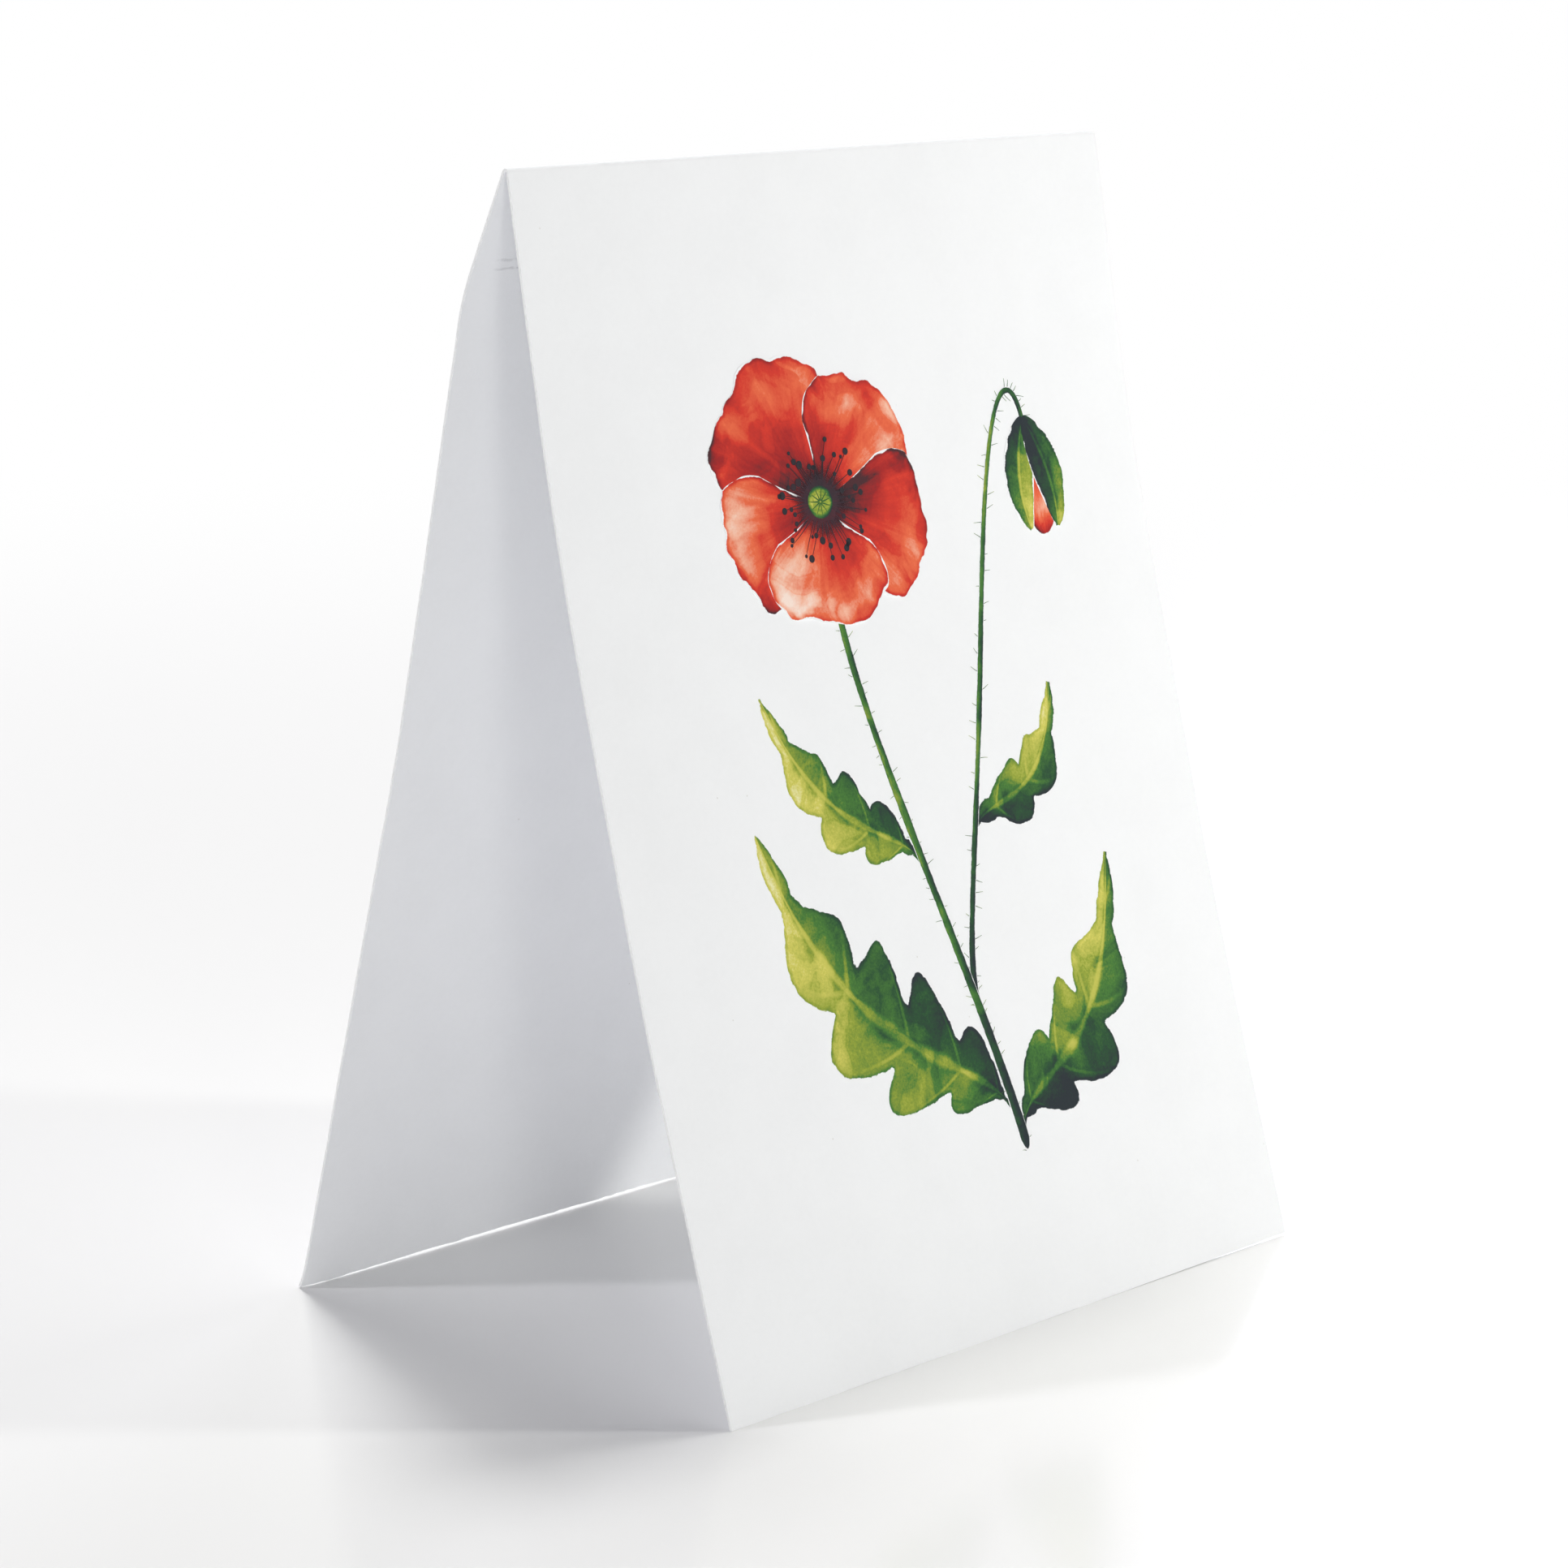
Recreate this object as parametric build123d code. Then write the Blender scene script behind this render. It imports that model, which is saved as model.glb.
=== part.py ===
# A greeting card: one sheet of white card, folded across its middle and stood up like a tent.
# Lengths are in millimetres and angles in degrees. The origin is on the table, under the middle
# of the card: +X runs along the fold, -Y faces out of the front panel and +Z is up.
from build123d import *
from math import cos, radians, sin
import os

# Sheet
card_width = 107.0
card_height = 143.0  # table to the crown of the fold
sheet_thickness = 0.35
fold_inside_radius = 0.15

# Each panel hangs from the fold in three straight runs joined by two gentle bends. Runs and bends
# are lengths along the sheet, and the last run goes down to the table. Leans are from upright.
front_top_run = 24.0
front_upper_bend = 40.0
front_middle_run = 22.0
front_lower_bend = 30.0
front_top_lean = 10.8
front_middle_lean = 15.3
front_foot_lean = 17.5

back_top_run = 13.0
back_upper_bend = 7.0
back_middle_run = 46.0
back_lower_bend = 16.0
back_top_lean = 24.6
back_middle_lean = 11.7
back_foot_lean = 14.3

# The section is drawn as the sheet's middle line, with Y across and Z up.
FRONT, BACK = -1, 1
fold_radius = fold_inside_radius + sheet_thickness / 2
crown_height = card_height - sheet_thickness / 2
fold_centre = Vector(0, crown_height - fold_radius)


def heading(side, lean):
    """Direction down a panel that leans out to its own side."""
    return Vector(side * sin(radians(lean)), -cos(radians(lean)))


def fold_end(side, lean):
    """Point where the fold's arc runs tangent into a panel."""
    return fold_centre + Vector(side * cos(radians(lean)), sin(radians(lean))) * fold_radius


def straight(start, side, lean, length):
    """Straight run of the sheet."""
    return Line(start, start + heading(side, lean) * length)


def bend(start, side, lean, next_lean, length):
    """Arc of the sheet that is tangent to the runs above and below it."""
    turn = next_lean - lean
    if turn == 0:
        return straight(start, side, lean, length)
    return JernArc(start, heading(side, lean), length / radians(abs(turn)), side * turn)


def panel_line(side, top_run, upper_bend, middle_run, lower_bend, leans):
    """Middle line of one panel, from the fold to one sheet thickness below the table."""
    top_lean, middle_lean, foot_lean = leans
    top = straight(fold_end(side, top_lean), side, top_lean, top_run)
    upper = bend(top @ 1, side, top_lean, middle_lean, upper_bend)
    middle = straight(upper @ 1, side, middle_lean, middle_run)
    lower = bend(middle @ 1, side, middle_lean, foot_lean, lower_bend)
    drop = (lower @ 1).Y + sheet_thickness
    foot = straight(lower @ 1, side, foot_lean, drop / cos(radians(foot_lean)))
    return [top, upper, middle, lower, foot]


def folded_card():
    """The sheet at its full thickness, with both cut edges level on the table."""
    front_leans = (front_top_lean, front_middle_lean, front_foot_lean)
    front = panel_line(FRONT, front_top_run, front_upper_bend, front_middle_run, front_lower_bend, front_leans)
    back_leans = (back_top_lean, back_middle_lean, back_foot_lean)
    back = panel_line(BACK, back_top_run, back_upper_bend, back_middle_run, back_lower_bend, back_leans)
    fold = ThreePointArc(fold_end(FRONT, front_top_lean), (0, crown_height), fold_end(BACK, back_top_lean))

    middle_line = Wire(front[::-1] + [fold] + back)
    section = make_face(offset(middle_line, sheet_thickness / 2))
    sheet = extrude(Plane.YZ * section, card_width / 2, both=True)
    standing = split(sheet, bisect_by=Plane.XY, keep=Keep.TOP)
    return Pos(Y=-standing.bounding_box().center().Y) * standing


card = folded_card()
card.label = "folded_card"
flat_length = card.volume / (card_width * sheet_thickness)
box = card.bounding_box()
print(f"card {box.size.X:.2f} x {box.size.Y:.2f} x {box.size.Z:.2f} mm, flat sheet {flat_length:.1f} mm long")

os.makedirs("parts", exist_ok=True)
export_step(card, "parts/folded_card.step")
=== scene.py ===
from math import comb
import bpy
import numpy as np
from mathutils import Matrix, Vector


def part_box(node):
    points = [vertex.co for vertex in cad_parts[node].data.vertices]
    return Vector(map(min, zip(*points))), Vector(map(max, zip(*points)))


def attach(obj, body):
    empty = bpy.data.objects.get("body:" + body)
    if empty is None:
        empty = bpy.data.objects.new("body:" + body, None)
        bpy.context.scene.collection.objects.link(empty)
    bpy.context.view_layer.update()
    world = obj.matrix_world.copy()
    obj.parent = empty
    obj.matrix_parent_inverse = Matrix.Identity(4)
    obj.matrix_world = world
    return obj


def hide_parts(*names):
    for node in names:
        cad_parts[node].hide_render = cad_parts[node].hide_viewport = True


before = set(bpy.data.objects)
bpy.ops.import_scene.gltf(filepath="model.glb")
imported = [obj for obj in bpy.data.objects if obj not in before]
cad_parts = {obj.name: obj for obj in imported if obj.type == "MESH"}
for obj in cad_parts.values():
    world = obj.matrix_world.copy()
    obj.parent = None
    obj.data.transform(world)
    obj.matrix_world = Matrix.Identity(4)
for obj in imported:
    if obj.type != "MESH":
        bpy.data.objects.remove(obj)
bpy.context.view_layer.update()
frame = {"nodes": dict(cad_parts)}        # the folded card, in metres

mm = 0.001               # sizes below are in millimetres unless a note says otherwise
print("frame loaded:", ", ".join(frame["nodes"]))


# shader maths

class Flow:  # one socket of a node tree, with Python's operators as Math nodes
    def __init__(self, tree, socket=None):
        self.tree = tree
        self.socket = socket

    def node(self, kind, settings, sockets, out=0):  # any node: settings first, then its sockets
        made = self.tree.nodes.new(kind)
        for key, value in settings.items():
            if key == "stops":
                fillRamp(made.color_ramp, value)
            else:
                setattr(made, key, value)
        for key, value in sockets.items():
            if isinstance(value, Flow):
                self.tree.links.new(value.socket, made.inputs[key])
            else:
                made.inputs[key].default_value = value
        return Flow(self.tree, made.outputs[out] if made.outputs else None)

    def math(self, operation, first, second):
        return self.node("ShaderNodeMath", {"operation": operation}, {0: first, 1: second})

    def __add__(self, other):
        return self.math("ADD", self, other)

    def __radd__(self, other):
        return self.math("ADD", other, self)

    def __sub__(self, other):
        return self.math("SUBTRACT", self, other)

    def __rsub__(self, other):
        return self.math("SUBTRACT", other, self)

    def __mul__(self, other):
        return self.math("MULTIPLY", self, other)

    def __rmul__(self, other):
        return self.math("MULTIPLY", other, self)

    def __pow__(self, other):
        return self.math("POWER", self, other)

    def __rpow__(self, other):
        return self.math("POWER", other, self)

    def __abs__(self):
        return self.math("ABSOLUTE", self, 0.0)


def fillRamp(band, stops):
    while len(band.elements) < len(stops):
        band.elements.new(0.5)
    for element, (place, colour) in zip(band.elements, stops):
        element.position = place
        element.color = colour


def grey(stops):  # a ramp's stops as plain values
    return [(place, (value, value, value, 1.0)) for place, value in stops]


def ramp(factor, stops):
    return factor.node("ShaderNodeValToRGB", {"stops": stops}, {0: factor})


def pigment(red, green, blue):  # a colour as it looks on screen, 0 to 255, made linear
    screen = np.array([red, green, blue]) / 255
    linear = np.where(screen <= 0.04045, screen / 12.92, ((screen + 0.055) / 1.055) ** 2.4)
    return (*linear.tolist(), 1.0)


def fade(value, low, high):  # 0 below low, 1 above high, smooth between
    limits = {0: value, 1: low, 2: high, 3: 0.0, 4: 1.0}
    return value.node("ShaderNodeMapRange", {"interpolation_type": "SMOOTHSTEP"}, limits)


def mixColour(factor, first, second):
    return factor.node("ShaderNodeMix", {"data_type": "RGBA"}, {0: factor, 6: first, 7: second}, 2)


def grain(place, scale, detail=3.0, rough=0.55, warp=0.0):  # cloudy noise, 0 to 1
    knobs = {"Vector": place, "Scale": scale, "Detail": detail, "Roughness": rough, "Distortion": warp}
    return place.node("ShaderNodeTexNoise", {"noise_dimensions": "3D"}, knobs)


def stretch(place, factors):
    return place.node("ShaderNodeVectorMath", {"operation": "MULTIPLY"}, {0: place, 1: factors})


def axisOf(place, axis):
    return place.node("ShaderNodeSeparateXYZ", {}, {0: place}, axis)


def attribute(flow, name):  # a value that the mesh carries at each point
    return flow.node("ShaderNodeAttribute", {"attribute_name": name}, {}, "Fac")


def bump(height, depth, under=None):  # a raised surface, laid over another one if that is given
    knobs = {"Height": height, "Distance": depth, "Strength": 1.0}
    if under is not None:
        knobs["Normal"] = under
    return height.node("ShaderNodeBump", {}, knobs)


def emptyTree(data):  # the node tree of a new material or world, with nothing in it
    data.use_nodes = True
    data.node_tree.nodes.clear()
    return Flow(data.node_tree)


def newMaterial(name):  # a material, and a point's place on the object in millimetres
    material = bpy.data.materials.new(name)
    place = emptyTree(material).node("ShaderNodeTexCoord", {}, {}, "Object")
    return material, stretch(place, (1 / mm, 1 / mm, 1 / mm))


def finishMaterial(colour, rough, normal, alpha=1.0):
    sockets = {"Base Color": colour, "Roughness": rough, "Normal": normal, "Alpha": alpha}
    sockets["Specular IOR Level"] = paper["specular"]
    shader = colour.node("ShaderNodeBsdfPrincipled", {}, sockets)
    colour.node("ShaderNodeOutputMaterial", {}, {"Surface": shader})


# white card: a smooth uncoated stock, faintly mottled, with a fine felt tooth

paper = {                              # scales are per millimetre
    "white": pigment(246, 247, 250),
    "cloud": pigment(243, 244, 247),   # where the fibres lie thinner
    "cloudScale": 0.09,
    "fleckScale": 1.4,                 # finer mottle within the clouds
    "cloudShare": 0.7,
    "cloudRange": (0.30, 0.75),
    "speck": pigment(222, 222, 221),   # a fibre of another tone here and there
    "speckScale": 0.22,
    "speckSize": (0.010, 0.035),       # full within the first, gone past the second
    "patchScale": 0.05,                # the specks come in patches
    "patchRange": (0.53, 0.64),
    "toothScale": 2.6,
    "toothDepth": 0.014 * mm,
    "rough": 0.78,
    "roughDrift": 0.12,
    "specular": 0.35,
}


def paperLook(place):  # colour, roughness and height of the bare sheet, by where it is
    flecks = grain(place, paper["fleckScale"], 2.0) * (1 - paper["cloudShare"])
    clouds = grain(place, paper["cloudScale"], 4.0) * paper["cloudShare"] + flecks
    felt = grain(place, paper["toothScale"], 4.0, 0.65)
    cells = {"Vector": place, "Scale": paper["speckScale"]}
    away = place.node("ShaderNodeTexVoronoi", {}, cells, "Distance")
    patches = fade(grain(place, paper["patchScale"], 0.0), *paper["patchRange"])
    specks = (1 - fade(away, *paper["speckSize"])) * patches
    colour = mixColour(fade(clouds, *paper["cloudRange"]), paper["white"], paper["cloud"])
    colour = mixColour(specks, colour, paper["speck"])
    rough = paper["rough"] + (felt - 0.5) * paper["roughDrift"]
    return colour, rough, felt


crease = {  # fine crease lines inside the back panel, where it was bent close to the fold: real dents, with painted shade laid along them
    "heights": (131.9, 130.8),
    "span": (-50.5, -48.5, -45.0, -38.0),  # where the marks set in, are full, and fade out again
    "width": (0.04, 0.24),
    "wander": (0.9, 0.5),                  # scale and width of their waver
    "broken": (1.6, 0.25, 0.60),           # scale of their gaps, and where a mark is gone and where full
    "depth": 0.02 * mm,
    # colour of the painted shade in the creases
    "tone": pigment(128, 128, 134),
    "strength": 0.24,
}


def creaseDentsAndShade(place):  # thin level lines that waver, broken by noise and faded out at both ends; one mask for both the dents and their painted shade
    x, y, z = (axisOf(place, axis) for axis in range(3))
    scale, width = crease["wander"]
    drift = (grain(place, scale, 2.0) - 0.5) * width
    start, full, hold, end = crease["span"]
    behindFold = fade(y, 0.0, 1.0)
    reach = fade(x, start, full) * (1 - fade(x, hold, end)) * behindFold * attribute(place, "inner")
    upper, lower = (1 - fade(abs(z - height + drift), *crease["width"]) for height in crease["heights"])
    scale, gone, whole = crease["broken"]
    return upper.math("MAXIMUM", upper, lower) * reach * fade(grain(place, scale, 2.0), gone, whole)


def whiteCard():
    material, place = newMaterial("whiteCard")
    colour, rough, felt = paperLook(place)
    dentsAndShade = creaseDentsAndShade(place)
    dented = bump(1 - dentsAndShade, crease["depth"])
    # the crease lines darkened with painted shade, over the dents' bump
    marked = mixColour(dentsAndShade * crease["strength"], colour, crease["tone"])
    finishMaterial(marked, rough, bump(felt, paper["toothDepth"], dented))
    return material


cut = {  # sheared fibres of the cut edges, drawn out along the sheet; their darker tone is partly the fibres' own colour and partly painted shade, for the self-shadow among them
    # both edge tones sit below the sheet's white: part fibre colour, part painted shade
    "dark": pigment(219, 220, 221),
    "pale": pigment(234, 235, 236),
    "fibre": (1.2, 9.0, 1.2),  # per millimetre
    "range": (0.3, 0.7),
    "rough": 0.9,
    "roughDrift": 0.1,
    "depth": 0.04 * mm,
}


def cutEdge():
    material, place = newMaterial("cutEdge")
    fibres = grain(stretch(place, cut["fibre"]), 1.0, 4.0, 0.7)
    # fibre streaks between the two edge tones, which carry painted shade as well as the fibres' own colour
    colour = mixColour(fade(fibres, *cut["range"]), cut["dark"], cut["pale"])
    rough = cut["rough"] + (fibres - 0.5) * cut["roughDrift"]
    finishMaterial(colour, rough, bump(fibres, cut["depth"]))
    return material


# the sheet: its section is a line of straight runs and bends, carried along the fold

card = {
    "node": "folded_card",
    "thickness": 0.35,
    "foldInside": 0.15,
    "frontRuns": (24.0, 40.0, 22.0, 30.0),  # top run, upper bend, middle run, lower bend
    "frontLeans": (10.8, 15.3, 17.5),       # degrees from upright: top, middle, foot
    "backRuns": (13.0, 7.0, 46.0, 16.0),
    "backLeans": (24.6, 11.7, 14.3),
    "rows": 190,            # down each panel
    "foldRows": 19,
    "foldZone": 1.2,        # each side of the crown, with rows of its own
    "columns": 100,
    "sharp": 50.0,          # degrees between faces that meet in an edge
    "swell": 0.10,          # slow cockle of the sheet
    "swellReach": 148.0,    # it is still at the fold, and again this far down
    "swellEase": 1.5,
    "swellWaves": (         # share, rates across and along, start
        (1.0, 0.061, 0.023, 0.7),
        (0.6, 0.034, -0.052, 2.1),
    ),
    "rag": 0.03,            # waver of the cut edges
    "ragKnots": (4.5, 1.9),
    "ragReach": 4.0,
    "frontLift": 0.25,      # the warped sheet stands on three corners: its front foot rises to the right
    "frontLiftFrom": 0.62,  # share of the width
    "frontLiftCurve": 1.5,
    "backLift": 0.55,       # and its back foot arches clear of the table
    "backArch": (0.9, 0.35),  # lean, below 1 with its top left of the middle, and how blunt it is
    "fray": 0.18,           # loose fibres below the back foot
    "frayKnot": 2.2,
    "cornerCurl": 0.45,     # back corner that has been knocked
    "cornerReach": 4.0,
    "seed": 11,
}
low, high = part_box(card["node"])
cardWidth, cardHeight = (high.x - low.x) / mm, (high.z - low.z) / mm
footDepth = low.y / mm
halfSheet = card["thickness"] / 2
foldRadius = card["foldInside"] + halfSheet


def stationsOf(runs, leans):  # distance from the crown and heading where each run or bend ends
    top, middle, foot = leans
    pastTable = 1.5 * cardHeight
    ends = np.concatenate([[0.0], np.cumsum(runs), [pastTable]])
    headings = 90.0 - np.array([top, top, middle, middle, foot, foot])
    return ends + foldRadius * np.radians(headings[0]), np.radians(headings)


def sectionLine():  # the heading changes evenly along a bend, and the line is its running sum
    frontEnds, frontHeads = stationsOf(card["frontRuns"], card["frontLeans"])
    backEnds, backHeads = stationsOf(card["backRuns"], card["backLeans"])
    ends = np.concatenate([-frontEnds[::-1], backEnds])
    heads = np.concatenate([frontHeads[::-1], -backHeads])
    near, panelSteps, foldSteps = 2.0, 6000, 2001  # finer steps this near to the crown
    along = np.concatenate([
        np.linspace(ends[0], -near, panelSteps),
        np.linspace(-near, near, foldSteps)[1:-1],
        np.linspace(near, ends[-1], panelSteps),
    ])
    head = np.interp(along, ends, heads)
    step, middle = np.diff(along), (head[1:] + head[:-1]) / 2
    y = np.concatenate([[0.0], np.cumsum(np.cos(middle) * step)])
    z = np.concatenate([[0.0], np.cumsum(np.sin(middle) * step)])
    z += cardHeight - halfSheet - np.interp(0.0, along, z)
    return along, head, y, z


lineAlong, lineHead, lineY, lineZ = sectionLine()


def footOf(lift):  # where each panel, this far off its middle line, meets the table
    level = lineZ + np.cos(lineHead) * lift
    front, back = lineAlong < 0, lineAlong > 0
    return (np.interp(0.0, level[front], lineAlong[front]),
            np.interp(0.0, level[back][::-1], lineAlong[back][::-1]))


outerFoot = footOf(halfSheet)[0]
lineY += footDepth - np.interp(outerFoot, lineAlong, lineY - np.sin(lineHead) * halfSheet)


def swellAt(across, along):  # crossed slow waves, still at the fold and at the feet
    down = np.clip(np.abs(along) / card["swellReach"], 0.0, 1.0)
    still = np.sin(np.pi * down) ** card["swellEase"]
    waves = sum(share * np.sin(across * acrossRate + along * alongRate + start)
                for share, acrossRate, alongRate, start in card["swellWaves"])
    return card["swell"] * still * waves


def sheetPoint(across, along, lift):  # the section's point at along, raised by lift square to the sheet
    lift = lift + swellAt(across, along)
    head = np.interp(along, lineAlong, lineHead)
    y = np.interp(along, lineAlong, lineY) - np.sin(head) * lift
    z = np.interp(along, lineAlong, lineZ) + np.cos(head) * lift
    return np.stack(np.broadcast_arrays(across, y, z), -1) * mm


def waver(places, knot, seed):  # smooth random line through one knot every few millimetres
    count = int(np.ptp(places) / knot) + 4
    heights = np.random.default_rng(seed).uniform(-1, 1, count)
    at = (places - places.min()) / knot
    base = np.floor(at).astype(int)
    blend = (1 - np.cos(np.pi * (at - base))) / 2
    return heights[base] * (1 - blend) + heights[base + 1] * blend


def gridFaces(count, rows, columns):  # quads of several grids that lie one after another
    index = np.arange(count * rows * columns).reshape(count, rows, columns)
    corners = [index[:, :-1, :-1], index[:, :-1, 1:], index[:, 1:, 1:], index[:, 1:, :-1]]
    return index, np.stack(corners, -1).reshape(-1, 4)


def rimOf(index):  # a grid's border, once round
    sides = [index[:, 0, :-1], index[:, :-1, -1], index[:, -1, :0:-1], index[:, :0:-1, 0]]
    return np.concatenate(sides, 1)


def closedSheet(name, top, bottom, materials):  # two grids of points and the rim between them
    count, rows, columns = top.shape[:3]
    index, face = gridFaces(count, rows, columns)
    shift = index.size
    rim = rimOf(index)
    ahead = np.roll(rim, -1, 1)
    band = np.stack([rim, rim + shift, ahead + shift, ahead], -1).reshape(-1, 4)
    faces = np.concatenate([face, face[:, ::-1] + shift, band])
    points = np.concatenate([top.reshape(-1, 3), bottom.reshape(-1, 3)])
    a, b, c = (points[face[:, k]] for k in range(3))
    turned = (np.cross(b - a, c - a) * (points[face[:, 0]] - points[face[:, 0] + shift])).sum() < 0
    mesh = bpy.data.meshes.new(name)
    mesh.from_pydata(points, [], faces[:, ::-1] if turned else faces)
    for material in materials:
        mesh.materials.append(material)
    slots = np.zeros(len(faces), np.int32)
    slots[2 * len(face):] = len(materials) - 1
    mesh.polygons.foreach_set("material_index", slots)
    mesh.polygons.foreach_set("use_smooth", np.ones(len(faces), bool))
    mesh.set_sharp_from_angle(angle=np.radians(card["sharp"]))
    piece = bpy.data.objects.new(name, mesh)
    bpy.context.collection.objects.link(piece)
    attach(piece, "root")
    return piece


def carry(mesh, name, values):  # one value for each point of the mesh
    mesh.attributes.new(name, "FLOAT", "POINT").data.foreach_set("value", values.astype(np.float32))


def nearEdge(distance):  # 1 at a cut edge, falling to 0 within the rag's reach
    return np.clip(1 - distance / card["ragReach"], 0, 1) ** 2


def sideWaver(along, side):  # a slow random line and half as much of a quick one
    slow, quick = card["ragKnots"]
    return waver(along, slow, card["seed"] + side) + 0.5 * waver(along, quick, card["seed"] + 5 + side)


def footRag(across, panel):  # a foot's own cut edge, never below the table
    return card["rag"] * np.abs(waver(across, card["ragKnots"][0], card["seed"] + 9 + panel))


def frontRise(share, across):  # level, then a power curve up to the right end
    start = card["frontLiftFrom"]
    warp = np.clip((share - start) / (1 - start), 0, 1) ** card["frontLiftCurve"]
    return footRag(across, 0) + card["frontLift"] * warp


def backRise(share, across):  # a blunt half wave from end to end, less the fibres that hang below it
    fray = card["fray"] * np.abs(waver(across, card["frayKnot"], card["seed"] + 12))
    lean, blunt = card["backArch"]
    arch = card["backLift"] * np.sin(np.pi * share ** lean) ** blunt
    return np.clip(footRag(across, 1) + arch - fray, 0, None)


def sheetFace(lift):  # places from foot to foot, drawn in at the cut edges, on one side of the sheet
    frontFoot, backFoot = footOf(lift)
    zone = card["foldZone"]
    along = np.concatenate([
        np.linspace(frontFoot, -zone, card["rows"]),
        np.linspace(-zone, zone, card["foldRows"])[1:-1],
        np.linspace(zone, backFoot, card["rows"]),
    ])
    across = np.linspace(-cardWidth / 2, cardWidth / 2, card["columns"])
    left, right = nearEdge(across + cardWidth / 2), nearEdge(cardWidth / 2 - across)
    ragged = np.outer(sideWaver(along, 0), left) + np.outer(sideWaver(along, 1), right)
    x = across + card["rag"] * ragged
    share = (across + cardWidth / 2) / cardWidth
    front = np.outer(nearEdge(along - frontFoot), frontRise(share, across))
    back = np.outer(nearEdge(backFoot - along), backRise(share, across))
    s = along[:, None] + front - back
    fromCorner = np.hypot(x + cardWidth / 2, s - backFoot)
    curl = card["cornerCurl"] * np.clip(1 - fromCorner / card["cornerReach"], 0, 1) ** 2
    return sheetPoint(x, s, lift + curl)[None]


def foldedSheet():
    outer, inner = sheetFace(halfSheet), sheetFace(-halfSheet)
    piece = closedSheet("foldedSheet", outer, inner, [whiteCard(), cutEdge()])
    carry(piece.data, "inner", np.repeat([0.0, 1.0], len(piece.data.vertices) // 2))
    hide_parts(card["node"])


foldedSheet()
print("sheet folded:", round(cardWidth, 2), "wide,", round(cardHeight, 2), "high")


# the print: thin films of colour that lie on the front panel, each a wash with its own outline.
# Places on the panel are (millimetres right of its middle, millimetres down from the fold).

ink = {
    "bed": 0.02,      # how far a film is sunk in the sheet
    "step": 0.006,    # each layer stands this much above the one below
}


def crowd(count):  # 0 to 1, closer together at both ends
    return (1 - np.cos(np.pi * np.linspace(0, 1, count))) / 2


def bezier(points, at):  # a smooth line that starts and ends on its first and last points
    points = np.array(points, float)
    power = np.arange(len(points))
    choose = np.array([comb(len(points) - 1, k) for k in power])
    weights = choose * at[:, None] ** power * (1 - at[:, None]) ** power[::-1]
    return weights @ points


def rimDistance(grid):  # millimetres from every point of a grid to its own outline
    count, rows, columns = grid.shape[:3]
    rim = rimOf(np.arange(rows * columns).reshape(1, rows, columns))[0]
    flat = grid.reshape(count, -1, 2)
    border = flat[:, rim]
    ahead = np.roll(border, -1, 1)
    finer = 4  # places on each stretch of the outline
    shares = np.linspace(0, 1, finer, endpoint=False)[:, None, None, None]
    border = (border + (ahead - border) * shares).transpose(1, 0, 2, 3).reshape(count, -1, 2)
    return np.sqrt(((flat[:, :, None] - border[:, None]) ** 2).sum(-1).min(-1))


def film(name, grid, layer, material, load=0.0, lobes=0.0):  # a closed film over a grid of places
    count, rows, columns = grid.shape[:3]
    x, down = grid[..., 0], grid[..., 1]
    top = sheetPoint(x, -down, halfSheet + ink["step"] * (layer + 1))
    bottom = sheetPoint(x, -down, halfSheet - ink["bed"])
    mesh = closedSheet(name, top, bottom, [material]).data
    u, v = np.meshgrid(np.linspace(0, 1, rows), np.linspace(0, 1, columns), indexing="ij")
    places = np.tile(np.stack([u, v], -1).reshape(-1, 2), (2 * count, 1))
    corner = np.empty(len(mesh.loops), np.int32)
    mesh.loops.foreach_get("vertex_index", corner)
    mesh.uv_layers.new(name="wash").uv.foreach_set("vector", places[corner].astype(np.float32).ravel())
    edge = np.tile(rimDistance(grid).ravel(), 2)
    carry(mesh, "edge", edge)
    carry(mesh, "load", np.full(edge.shape, load))
    carry(mesh, "lobes", np.full(edge.shape, lobes))


plainWash = {                # every wash starts from these; lengths in millimetres, scales per millimetre
    "margin": 0.08,          # bare rim of a film, so that the wash draws the brush line and not the mesh
    "marginDrift": 1.2,      # the bare rim comes and goes
    "slowScale": 0.30,
    "crisp": 0.10,
    "wander": (0.9, 0.40),   # scale and width of the brush line's waver
    "dry": 0.12,             # tooth of the paper showing at the brush line
    "rooted": (0.01, 0.0),   # share of the length, from the root, painted to its rim, and how far over
    "tide": (0.16, 0.7),     # pigment left along the line as it dried, and how wide
    "tideStart": 0.05,
    "drift": (0.15, 0.75),   # slow pools of pigment
    "bleed": 0.40,           # how far tones run into each other
    "backrun": (0.05, 0.53, 0.04),  # line where one pool dried against the next: pigment, level, width
    "streak": (1.6, 11.0, 0.55),    # brush streaks along and across, and how strong
    "streakShift": 9.0,      # sets the streaks of one film apart from the next one's
    "specks": 0.14,
    "speckScale": 3.4,
    "toothHold": 0.10,       # pigment settles in the hollows of the sheet
    "lengthwise": [(0.0, 0.5), (1.0, 0.5)],  # pigment from root to tip, and from side to side
    "sideways": [(0.0, 0.5), (1.0, 0.5)],
    "rib": 0.0,
    "veins": 0.0,
    "soft": False,           # fades out over what lies below, instead of showing the bare sheet
}


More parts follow.
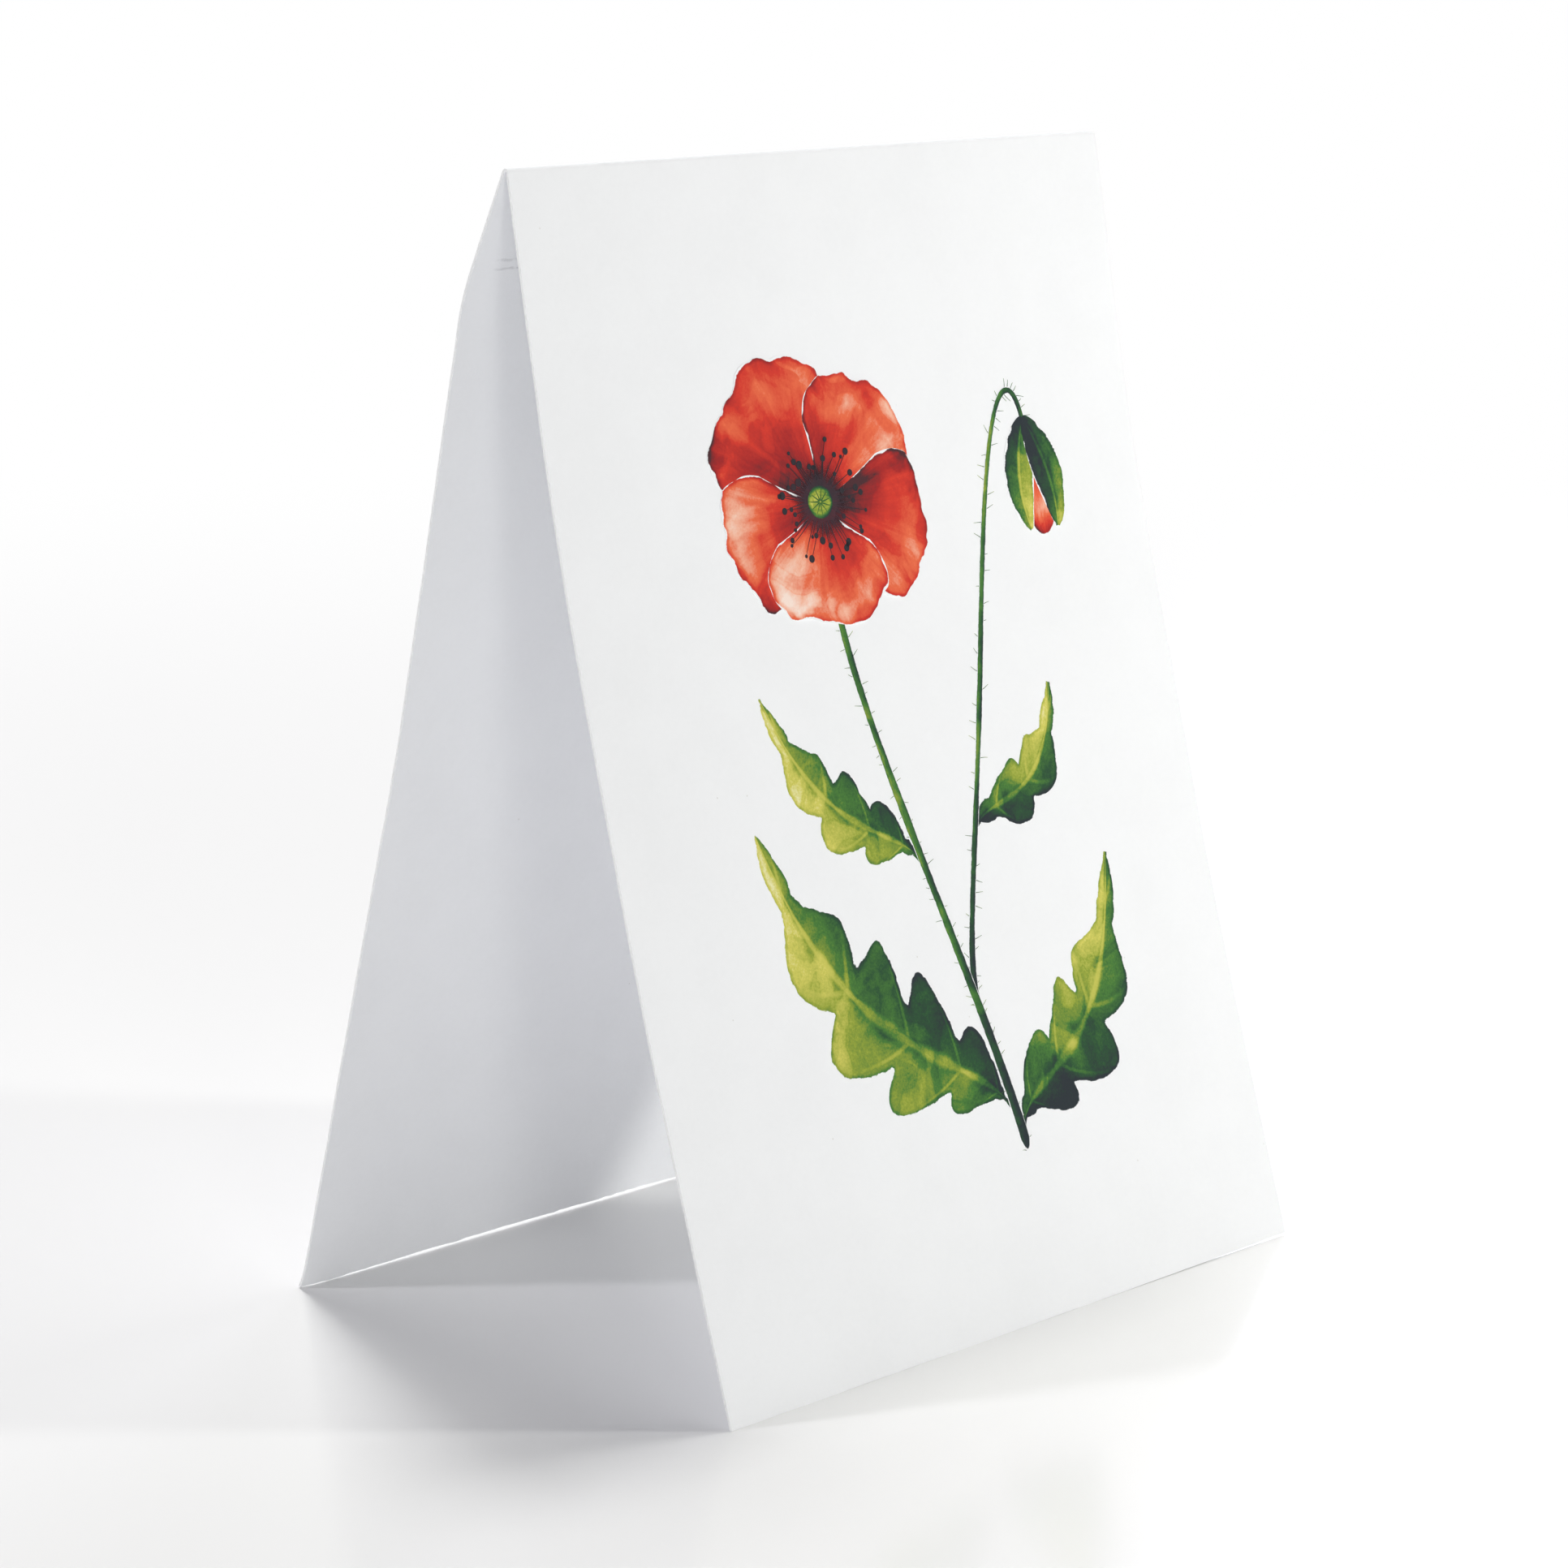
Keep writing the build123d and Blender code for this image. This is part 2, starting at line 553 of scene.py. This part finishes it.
def ribAndVeins(u, v, lobes, wash):  # a pale rib, and veins that leave it at a slant for the lobes' tips
    out = abs(v - 0.5)
    phase = (lobes + 0.5) * (u + (0.5 - out) * leafShape["veinSlant"]) ** leafShape["lobePace"]
    turn = abs(u.node("ShaderNodeMath", {"operation": "FRACT"}, {0: phase}) - 0.5)
    lobed = fade(lobes, 0.5, 1.0) * wash["veins"]
    veins = (1 - fade(turn, *leafShape["veinWidth"])) * (1 - fade(out, *leafShape["veinReach"])) * lobed
    rib = (1 - fade(out, *leafShape["ribWidth"])) * wash["rib"]
    return rib.math("MAXIMUM", rib, veins)


def washMaterial(name, wash):  # one watercolour: pigment by place on the film, over the sheet's own tooth
    material, place = newMaterial(name)
    bare, rough, felt = paperLook(place)
    both = place.node("ShaderNodeUVMap", {"uv_map": "wash"}, {})
    u, v = axisOf(both, 0), axisOf(both, 1)
    edge, load, lobes = (attribute(place, key) for key in ("edge", "load", "lobes"))
    drift = grain(place, wash["drift"][0], 3.0, 0.5, 0.8)
    speck = grain(place, wash["speckScale"], 3.0, 0.7)
    slow = grain(place, wash["slowScale"], 2.0)

    # brush line: the rim's distance, shifted by noise
    scale, width = wash["wander"]
    inside = edge + (grain(place, scale, 4.0, 0.6) - 0.5) * width
    inside = inside + (speck - 0.5) * wash["dry"] + (slow - 0.5) * wash["marginDrift"]
    root, over = wash["rooted"]
    inside = inside + (1 - fade(u, 0.0, root)) * over
    margin = wash["margin"]
    painted = fade(inside, margin, margin + wash["crisp"])
    left, wide = wash["tide"]
    tide = (1 - fade(inside, margin + wash["tideStart"], margin + wide)) * (slow * 2 * left)

    # amount of pigment, from bare to full
    shift = (drift - 0.5) * wash["bleed"]
    amount = ramp(u + shift, grey(wash["lengthwise"])) * 1.0  # makes the ramp's colour a value
    amount = amount + ramp(v + shift, grey(wash["sideways"])) - 0.5
    amount = amount + load + (drift - 0.5) * wash["drift"][1] + tide
    settled, level, width = wash["backrun"]
    amount = amount + (1 - fade(abs(drift - level), 0.0, width)) * settled
    along, across, strength = wash["streak"]
    brush = {0: u * along, 1: v * across, 2: load * wash["streakShift"]}
    streaks = grain(place.node("ShaderNodeCombineXYZ", {}, brush), 1.0, 5.0, 0.6, 0.4)
    amount = amount + (streaks - 0.5) * strength
    amount = amount + (0.5 - felt) * wash["toothHold"] + (speck - 0.5) * wash["specks"]
    amount = amount - ribAndVeins(u, v, lobes, wash) * fade(amount, *leafShape["paleRange"])

    colour = ramp(amount, wash["tones"])
    tooth = bump(felt, paper["toothDepth"])
    if wash["soft"]:
        finishMaterial(colour, rough, tooth, painted)
    else:
        finishMaterial(mixColour(painted, bare, colour), rough, tooth)
    return material


# bloom: petals are fans whose rays run from the throat to a ruffled rim

petalTones = [
    (0.00, pigment(250, 226, 214)), (0.15, pigment(244, 184, 158)), (0.34, pigment(231, 104, 64)),
    (0.55, pigment(209, 46, 27)), (0.78, pigment(160, 16, 16)), (1.00, pigment(58, 10, 22)),
]
petalWash = {
    **plainWash,
    "tones": petalTones,
    "lengthwise": [(0.0, 1.05), (0.25, 0.90), (0.46, 0.58), (0.74, 0.34), (1.0, 0.52)],
    "sideways": [(0.0, 0.76), (0.26, 0.32), (0.58, 0.52), (1.0, 0.80)],
    "rooted": (0.45, 1.2),
}
bloom = {
    "heart": (-8.5, 43.0),
    "flatten": 0.92,
    "throat": 1.2,
    "rows": 56,
    "columns": 80,
    "round": (0.12, 0.28),  # how far the rim falls back towards its sides, and at its shoulders
    "ruffles": ((0.055, 0.42, 0), (0.026, 0.15, 50), (0.008, 0.06, 90)),  # share of the reach, knot, seed
    "rootSpread": 0.80,     # share of the spread that a petal already has at its root
    "petals": {             # heading, spread, reach, pigment load
        "petalUpperLeft": (126.0, 50.0, 20.8, 0.12),
        "petalUpperRight": (50.0, 46.0, 19.0, -0.04),
        "petalLeft": (199.0, 43.0, 18.2, 0.04),
        "petalRight": (-18.0, 44.0, 19.4, 0.16),
        "petalFront": (266.0, 57.0, 16.6, -0.12),
    },
    "firstLayer": 10,       # above the greens
    "firstSeed": 4,
}


def fanPetal(heading, spread, reach, seed):  # radius grows with u, the ray's angle with v
    u = crowd(bloom["rows"])[:, None]
    q = 2 * crowd(bloom["columns"]) - 1
    ruffle = sum(share * waver(q, knot, seed + k) for share, knot, k in bloom["ruffles"])
    side, shoulder = bloom["round"]
    rim = reach * (1 - side * q ** 2 - shoulder * q ** 8) * (1 + ruffle)
    radius = bloom["throat"] + (rim - bloom["throat"]) * u
    opened = bloom["rootSpread"] + (1 - bloom["rootSpread"]) * u ** 0.7
    angle = np.radians(heading + spread * q * opened)
    x = bloom["heart"][0] + radius * np.cos(angle)
    down = bloom["heart"][1] - radius * np.sin(angle) * bloom["flatten"]
    return np.stack([x, down], -1)[None]


def paintBloom():
    wash = washMaterial("petalWash", petalWash)
    for k, (name, (heading, spread, reach, load)) in enumerate(bloom["petals"].items()):
        petal = fanPetal(heading, spread, reach, bloom["firstSeed"] + k)
        film(name, petal, bloom["firstLayer"] + k, wash, load)


# heart of the bloom: a dark blot, a ring of fine stamens and a green seed head

heartTones = [
    (0.00, pigment(150, 30, 36)), (0.35, pigment(88, 18, 32)), (0.7, pigment(38, 12, 28)),
    (1.00, pigment(14, 10, 22)),
]
heartWash = {
    **plainWash,
    "tones": heartTones,
    "lengthwise": [(0.0, 0.6), (1.0, 0.6)],
    "margin": 0.50, "marginDrift": 0.6, "crisp": 3.0, "wander": (0.8, 1.6), "tide": (-0.2, 1.2),
    "soft": True,
}
fineStroke = {"margin": -9.0, "tide": (0.0, 1.0)}  # strokes too thin to have a bare rim
stamenWash = {**plainWash, **fineStroke, "tones": heartTones, "lengthwise": [(0.0, 0.75), (1.0, 0.95)]}
heart = {
    "blot": 6.0,
    "blotGrid": 31,
    "blotLoad": 0.1,
    "seedHead": 2.2,
    "seedHeadGrid": 25,
    "rays": 11,               # ridges on top of the seed head
    "rayRoot": 0.15,
    "rayShare": 0.74,         # of the seed head's radius
    "rayTurn": 0.2,
    "rayWidth": 0.26,
    "stamens": 46,
    "stamenRoot": 1.9,
    "stamenReach": (4.2, 8.2),
    "stamenJitter": 0.35,     # of the angle from one to the next
    "stamenBend": 0.8,
    "stamenWidth": 0.17,
    "antherSize": 0.40,
    "antherGrid": 9,
    "antherSpread": (0.6, 1.3),
    "antherLoad": 0.1,
    "firstLayer": 15,
    "seed": 21,
}


def disc(centres, radii, size, flatten=1.0):  # a square grid drawn into a round one, with no pole
    a, b = np.meshgrid(np.linspace(-1, 1, size), np.linspace(-1, 1, size), indexing="ij")
    x = a * np.sqrt(1 - b ** 2 / 2)
    down = b * np.sqrt(1 - a ** 2 / 2) * flatten
    spots = np.stack([x, down], -1)[None] * np.reshape(radii, (-1, 1, 1, 1))
    return spots + np.reshape(centres, (-1, 1, 1, 2))


strokeShape = {"rows": 9, "columns": 3, "taper": 0.6}  # the tip is thinner by this share


def strokes(roots, ways, lengths, bends, width):  # short brush hairs, tapered, each bent to one side
    u = np.linspace(0, 1, strokeShape["rows"])[:, None]
    v = np.linspace(-0.5, 0.5, strokeShape["columns"])[None]
    sides = np.stack([-ways[:, 1], ways[:, 0]], -1)[:, None, None]
    out = lengths[:, None, None] * (u + 0 * v)
    sway = bends[:, None, None] * u ** 2 + v * width * (1 - strokeShape["taper"] * u)
    return roots[:, None, None] + out[..., None] * ways[:, None, None] + sway[..., None] * sides


def waysFrom(angle):  # directions on the panel, as flat as the bloom is
    return np.stack([np.cos(angle), -np.sin(angle) * bloom["flatten"]], -1)


def stamenRing(chance):  # strokes that start evenly round the heart, each a little astray
    count, middle, astray = heart["stamens"], np.array(bloom["heart"]), heart["stamenJitter"]
    angle = (np.arange(count) + chance.uniform(-astray, astray, count)) * 2 * np.pi / count
    lengths = chance.uniform(*heart["stamenReach"], count) - heart["stamenRoot"]
    ways = waysFrom(angle)
    ways /= np.linalg.norm(ways, axis=1)[:, None]
    bends = chance.uniform(-heart["stamenBend"], heart["stamenBend"], count)
    return strokes(middle + ways * heart["stamenRoot"], ways, lengths, bends, heart["stamenWidth"])


def seedRays():  # straight strokes, evenly round the seed head
    ways = waysFrom(np.arange(heart["rays"]) * 2 * np.pi / heart["rays"] + heart["rayTurn"])
    lengths = np.full(heart["rays"], heart["seedHead"] * heart["rayShare"])
    roots = np.array(bloom["heart"]) + ways * heart["rayRoot"]
    return strokes(roots, ways, lengths, 0 * lengths, heart["rayWidth"])


def paintHeart():
    chance = np.random.default_rng(heart["seed"])
    middle, layer, flatten = np.array(bloom["heart"]), heart["firstLayer"], bloom["flatten"]
    stamens = stamenRing(chance)
    sizes = heart["antherSize"] * chance.uniform(*heart["antherSpread"], heart["stamens"])
    fine = washMaterial("stamenWash", stamenWash)
    blot = disc(middle, heart["blot"], heart["blotGrid"], flatten)
    film("heartBlot", blot, layer, washMaterial("heartWash", heartWash), heart["blotLoad"])
    film("stamens", stamens, layer + 1, fine)
    tips = stamens[:, -1, strokeShape["columns"] // 2]
    film("anthers", disc(tips, sizes, heart["antherGrid"]), layer + 2, fine, heart["antherLoad"])
    seedHead = disc(middle, heart["seedHead"], heart["seedHeadGrid"], flatten)
    film("seedHead", seedHead, layer + 3, washMaterial("seedHeadWash", seedHeadWash))
    film("seedRays", seedRays(), layer + 4, washMaterial("rayWash", rayWash))


# stems, leaves and bud

leafTones = [
    (0.00, pigment(241, 239, 200)), (0.20, pigment(208, 202, 92)), (0.42, pigment(142, 158, 48)),
    (0.60, pigment(62, 116, 40)), (0.80, pigment(14, 66, 30)), (1.00, pigment(5, 22, 30)),
]
leafWash = {
    **plainWash,
    "tones": leafTones,
    "lengthwise": [(0.0, 0.92), (0.3, 0.70), (0.7, 0.46), (1.0, 0.22)],
    "sideways": [(0.0, 0.28), (0.42, 0.42), (0.52, 0.68), (1.0, 0.80)],
    "wander": (0.9, 0.50), "dry": 0.24, "streak": (9.0, 3.0, 0.36), "drift": (0.14, 0.70),
    "specks": 0.30, "rib": 0.24, "veins": 0.16, "rooted": (0.16, 1.0),
}
stemWash = {
    **plainWash,
    "tones": leafTones,
    "lengthwise": [(0.0, 0.95), (0.35, 0.72), (0.7, 0.60), (1.0, 0.82)],
    "sideways": [(0.0, 0.30), (0.5, 0.5), (1.0, 0.72)],
    "margin": 0.02, "marginDrift": 0.20, "wander": (0.8, 0.22), "tide": (0.1, 0.3),
    "streak": (30.0, 2.0, 0.4), "bleed": 0.2,
}
hairWash = {**stemWash, **fineStroke, "lengthwise": [(0.0, 0.8), (1.0, 0.6)]}
rayWash = {**stemWash, **fineStroke, "lengthwise": [(0.0, 0.70), (1.0, 0.76)]}
seedHeadWash = {
    **plainWash,
    "tones": leafTones,
    "lengthwise": [(0.0, 0.30), (1.0, 0.50)],
    "margin": -0.2, "marginDrift": 0.1, "wander": (1.2, 0.2), "tide": (0.5, 0.9), "drift": (0.6, 0.5),
}
leafShape = {
    "rows": 170,
    "columns": 37,
    "lobePace": 0.92,            # lobes get shorter towards the tip
    "lobeRound": 0.9,
    "stalk": 0.13,               # share of the rib that is bare stalk
    "stalkHalf": 0.36,
    "sweep": 0.62,               # how far lobes lean to the tip
    "sweepCurve": 1.6,
    "belly": 0.85,
    "ribWidth": (0.010, 0.045),  # in shares of the blade: full within the first, gone past the second
    "veinWidth": (0.010, 0.060),
    "veinReach": (0.10, 0.44),
    "veinSlant": 0.15,
    "paleRange": (0.15, 0.60),   # they show only where there is pigment to lift
}
stemShape = {"rows": 160, "columns": 9, "waver": (0.10, 0.06), "rootRound": 0.02, "rootLeft": 0.05}
stems = {  # control points from the root up, and the brush's width at root and tip
    "budStem": ([(3.6, 108.3), (2.2, 102), (8, 88), (22, 64), (20, 30), (30.5, 25), (31.5, 37)], 1.20, 0.85),
    "mainStem": ([(7, 127), (5, 108), (-3, 84), (-9, 66), (-8.5, 50)], 1.7, 1.05),
}
leaves = {  # rib from root to tip, width, lobes, depth of the notches, pigment load
    "leafLowLeft": ([(6.6, 123.5), (5.2, 116), (-8, 113), (-22, 108), (-30, 81)], 19.0, 5, 0.60, 0.0),
    "leafLowRight": ([(6.9, 126), (6.4, 119), (18, 119), (28, 115), (33, 93)], 15.0, 4, 0.56, 0.06),
    "leafMiddle": ([(-1.1, 90.1), (-3.0, 84.5), (-11, 84.5), (-19, 81), (-25, 65)], 10.0, 4, 0.54, -0.10),
    "leafUpper": ([(8.6, 87.3), (11, 82.5), (18, 85), (25, 82.5), (28, 70)], 8.4, 3, 0.50, 0.04),
}
budWash = {**petalWash, "rooted": (0.01, 0.0)}
bud = {
    "base": (31.5, 36.0),
    "tip": (32.8, 51.4),
    "width": 9.6,
    "slit": (0.78, 0.55, 0.05),    # the petal that shows: share of the width, bluntness, pigment load
    "sepal": (0.52, 0.8),          # share of the width and bluntness
    "sepalOut": 0.46,              # how far a sepal bows out, in shares of the width
    "sepalTip": (2.6, -0.8),       # its tip from the bud's own
    "sepals": {"sepalLeft": (-1, -0.04), "sepalRight": (1, 0.10)},  # side, pigment load
}
hairs = {
    "count": 120,
    "length": (0.6, 1.6),
    "lean": (-0.2, 0.7),           # towards the stem's tip
    "bend": 0.2,
    "root": 0.4,                   # from the stem's middle line
    "width": 0.09,
    "seed": 33,
}


def alongLine(points, count):  # places on a smooth line, its direction and its side
    line = bezier(points, np.linspace(0, 1, count))
    run = np.gradient(line, axis=0)
    run /= np.linalg.norm(run, axis=1)[:, None]
    return line[:, None], run[:, None], np.stack([-run[:, 1], run[:, 0]], -1)[:, None]


def ribbon(points, wide, narrow):  # a line with its width across, rounded at the root: u along, v across
    u = np.linspace(0, 1, stemShape["rows"])
    line, run, side = alongLine(points, len(u))
    uneven, knot = stemShape["waver"]
    width = wide + (narrow - wide) * u + uneven * waver(u, knot, len(points))  # stems differ in points
    width *= np.sqrt(np.clip(u / stemShape["rootRound"] + stemShape["rootLeft"], 0, 1))
    return (line + side * width[:, None, None] * (crowd(stemShape["columns"]) - 0.5)[None, :, None])[None]


def leafBlade(rib, width, lobes=0, notch=0.0, stalk=0.0, sweep=0.0, blunt=1.0):
    # half-width rises and falls along the rib, cut by forward-swept lobes; v goes from side to side
    u = np.linspace(0, 1, leafShape["rows"])
    line, run, side = alongLine(rib, len(u))
    onBlade = np.clip((u - stalk) / (1 - stalk), 0, 1)
    blade = np.abs(np.sin(np.pi * onBlade ** leafShape["belly"])) ** blunt
    if lobes:
        lobe = np.abs(np.sin(np.pi * (lobes + 0.5) * u ** leafShape["lobePace"])) ** leafShape["lobeRound"]
        blade = blade * (1 - notch + notch * lobe)
    half = (width / 2 * blade + leafShape["stalkHalf"])[:, None, None]
    q = (2 * crowd(leafShape["columns"]) - 1)[None, :, None]
    forward = half * np.abs(q) ** leafShape["sweepCurve"] * sweep * np.sin(np.pi * u)[:, None, None]
    return (line + side * half * q + run * forward)[None]


def stemHairs():  # fine hairs that stand off both sides of the stems
    chance = np.random.default_rng(hairs["seed"])
    lines = [alongLine(points, hairs["count"] // 2) for points, wide, narrow in stems.values()]
    roots, runs, sides = (np.concatenate([line[k][:, 0] for line in lines]) for k in range(3))
    flip = chance.choice([-1.0, 1.0], len(roots))[:, None]
    ways = sides * flip + runs * chance.uniform(*hairs["lean"], len(roots))[:, None]
    ways /= np.linalg.norm(ways, axis=1)[:, None]
    lengths = chance.uniform(*hairs["length"], len(roots))
    bends = chance.uniform(-hairs["bend"], hairs["bend"], len(roots))
    return strokes(roots + sides * flip * hairs["root"], ways, lengths, bends, hairs["width"])


def paintBud(leafPaint, layer):  # a slit of petal between two sepals
    base, tip = np.array(bud["base"]), np.array(bud["tip"])
    middle = base + (tip - base) * 0.5
    share, blunt, load = bud["slit"]
    slit = leafBlade([base, middle, tip], bud["width"] * share, blunt=blunt)
    film("budSlit", slit, layer, washMaterial("budWash", budWash), load)
    share, blunt = bud["sepal"]
    tipOut, tipDown = bud["sepalTip"]
    for k, (name, (turn, load)) in enumerate(bud["sepals"].items()):
        bow = middle + np.array([turn * bud["width"] * bud["sepalOut"], 0.0])
        rib = [base, bow, tip + np.array([turn * tipOut, tipDown])]
        film(name, leafBlade(rib, bud["width"] * share, blunt=blunt), layer + 1 + k, leafPaint, load)


def paintGreens():
    stemPaint, leafPaint = washMaterial("stemWash", stemWash), washMaterial("leafWash", leafWash)
    for layer, (name, (rib, width, lobes, notch, load)) in enumerate(leaves.items()):
        blade = leafBlade(rib, width, lobes, notch, leafShape["stalk"], leafShape["sweep"])
        film(name, blade, layer, leafPaint, load, lobes)
    above = len(leaves)
    film("stemHairs", stemHairs(), above, washMaterial("hairWash", hairWash))
    for k, (name, (points, wide, narrow)) in enumerate(stems.items()):
        film(name, ribbon(points, wide, narrow), above + 1 + k, stemPaint)
    paintBud(leafPaint, above + 1 + len(stems))


paintGreens()
paintBloom()
paintHeart()
print("print laid on the front panel")


# floor, light and camera

stage = {
    "floorRadius": 8.0,  # metres
    "floorInner": 0.02,
    "floorRings": 24,
    "floorSpokes": 64,
    "floorColour": (0.87, 0.87, 0.87, 1.0),
    "floorRough": 0.18,
    "floorFade": (0.25, 0.75),  # metres from the card where the table passes into plain white
    "world": 0.08,
    "worldColour": (0.90, 0.89, 1.0, 1.0),
    "aim": (0.0, 0.0, 0.07),
    "lamps": {           # azimuth from +X and height in degrees, distance and size in metres, watts, colour
        "softTop": (45.0, 71.2, 3.0, 0.52, 44.7, (1.0, 0.997, 0.97)),
        "softBack": (66.0, 65.0, 3.0, 0.70, 13.5, (1.0, 0.997, 0.97)),
        "softSide": (26.0, 18.0, 3.0, 1.20, 19.8, (0.90, 0.885, 1.0)),
        "softWindow": (146.0, 32.0, 3.0, 0.30, 23.8, (0.96, 0.95, 1.0)),
        "softFront": (-120.0, 12.0, 3.0, 0.55, 9.8, (1.0, 1.0, 0.95)),
        "softLeft": (-154.0, 5.2, 3.0, 1.10, 30.8, (1.0, 1.0, 0.95)),
        "softRight": (-48.0, 14.0, 0.5, 0.05, 1.07, (1.0, 1.0, 0.95)),
    },
}
view = {
    "lens": 105.66,
    "sensor": 36.0,
    "position": (-0.42268, -0.38305, 0.18303),  # metres
    "azimuth": -47.466,
    "elevation": 11.882,
    "roll": 0.727,
}


def seenPlain(flow):  # 1 where the camera sees a thing, straight or by gloss or glass
    seen = flow.node("ShaderNodeLightPath", {}, {}, "Is Camera Ray")
    for kind in ("Is Glossy Ray", "Is Transmission Ray"):
        seen = seen.math("MAXIMUM", seen, flow.node("ShaderNodeLightPath", {}, {}, kind))
    return seen


def paleTable():  # a smooth pale table that passes into plain white away from the card
    material = bpy.data.materials.new("paleTable")
    flow = emptyTree(material)
    place = flow.node("ShaderNodeTexCoord", {}, {}, "Object")
    away = flow.node("ShaderNodeVectorMath", {"operation": "LENGTH"}, {0: place}, "Value")
    gloss = {"Base Color": stage["floorColour"], "Roughness": stage["floorRough"]}
    table = flow.node("ShaderNodeBsdfPrincipled", {}, gloss)
    white = flow.node("ShaderNodeEmission", {}, {"Strength": 1.0})
    both = {0: fade(away, *stage["floorFade"]) * seenPlain(flow), 1: table, 2: white}
    flow.node("ShaderNodeOutputMaterial", {}, {"Surface": flow.node("ShaderNodeMixShader", {}, both)})
    return material


def layFloor():  # rings of a disc: radius grows evenly, the angle goes once round
    rings = np.linspace(stage["floorInner"], stage["floorRadius"], stage["floorRings"])
    spokes = np.linspace(0, 2 * np.pi, stage["floorSpokes"], endpoint=False)
    radius, angle = np.meshgrid(rings, spokes, indexing="ij")
    points = np.stack([radius * np.cos(angle), radius * np.sin(angle), 0 * radius], -1).reshape(-1, 3)
    index = np.arange(radius.size).reshape(radius.shape)
    ahead = np.roll(index, -1, 1)
    quads = np.stack([index[:-1], index[1:], ahead[1:], ahead[:-1]], -1).reshape(-1, 4)
    mesh = bpy.data.meshes.new("floor")
    mesh.from_pydata(points, [], quads.tolist() + [index[0].tolist()])
    mesh.materials.append(paleTable())
    floor = bpy.data.objects.new("floor", mesh)
    bpy.context.collection.objects.link(floor)


def standing(place, right, up, back):  # at a place, and turned to these three directions
    return Matrix(np.vstack([np.stack([right, up, back, place], 1), [0, 0, 0, 1]]).tolist())


def facing(place, target):  # turns a lamp at place to look at target
    back = np.subtract(place, target) / np.linalg.norm(np.subtract(place, target))
    right = np.cross((0.0, 0.0, 1.0), back)
    right /= np.linalg.norm(right)
    return standing(place, right, np.cross(back, right), back)


def hangLamps():
    for name, (azimuth, height, away, size, power, colour) in stage["lamps"].items():
        turn, rise = np.radians([azimuth, height])
        way = np.array([np.cos(turn) * np.cos(rise), np.sin(turn) * np.cos(rise), np.sin(rise)])
        lamp = bpy.data.lights.new(name, "AREA")
        lamp.shape = "DISK"
        lamp.size = size
        lamp.energy = power
        lamp.color = colour
        holder = bpy.data.objects.new(name, lamp)
        holder.matrix_world = facing(np.array(stage["aim"]) + way * away, stage["aim"])
        bpy.context.collection.objects.link(holder)


def lightWorld():  # an even pale room, plain white where the camera or the table's gloss sees it
    world = bpy.data.worlds.new("paleRoom")
    bpy.context.scene.world = world
    flow = emptyTree(world)
    seen = seenPlain(flow)
    strength = stage["world"] + seen * (1.0 - stage["world"])
    colour = mixColour(seen, stage["worldColour"], (1.0, 1.0, 1.0, 1.0))
    room = flow.node("ShaderNodeBackground", {}, {"Color": colour, "Strength": strength})
    flow.node("ShaderNodeOutputWorld", {}, {"Surface": room})


def setCamera():
    turn, tip, roll = np.radians([view["azimuth"], view["elevation"], view["roll"]])
    back = np.array([np.sin(turn) * np.cos(tip), -np.cos(turn) * np.cos(tip), np.sin(tip)])
    level = np.array([np.cos(turn), np.sin(turn), 0.0])
    right = np.cos(roll) * level + np.sin(roll) * np.cross(back, level)
    lens = bpy.data.cameras.new("camera")
    lens.lens = view["lens"]
    lens.sensor_width = view["sensor"]
    camera = bpy.data.objects.new("camera", lens)
    camera.matrix_world = standing(view["position"], right, np.cross(back, right), back)
    bpy.context.collection.objects.link(camera)
    bpy.context.scene.camera = camera


layFloor()
hangLamps()
lightWorld()
setCamera()
bpy.context.scene.view_settings.view_transform = "Standard"
print("stage set")
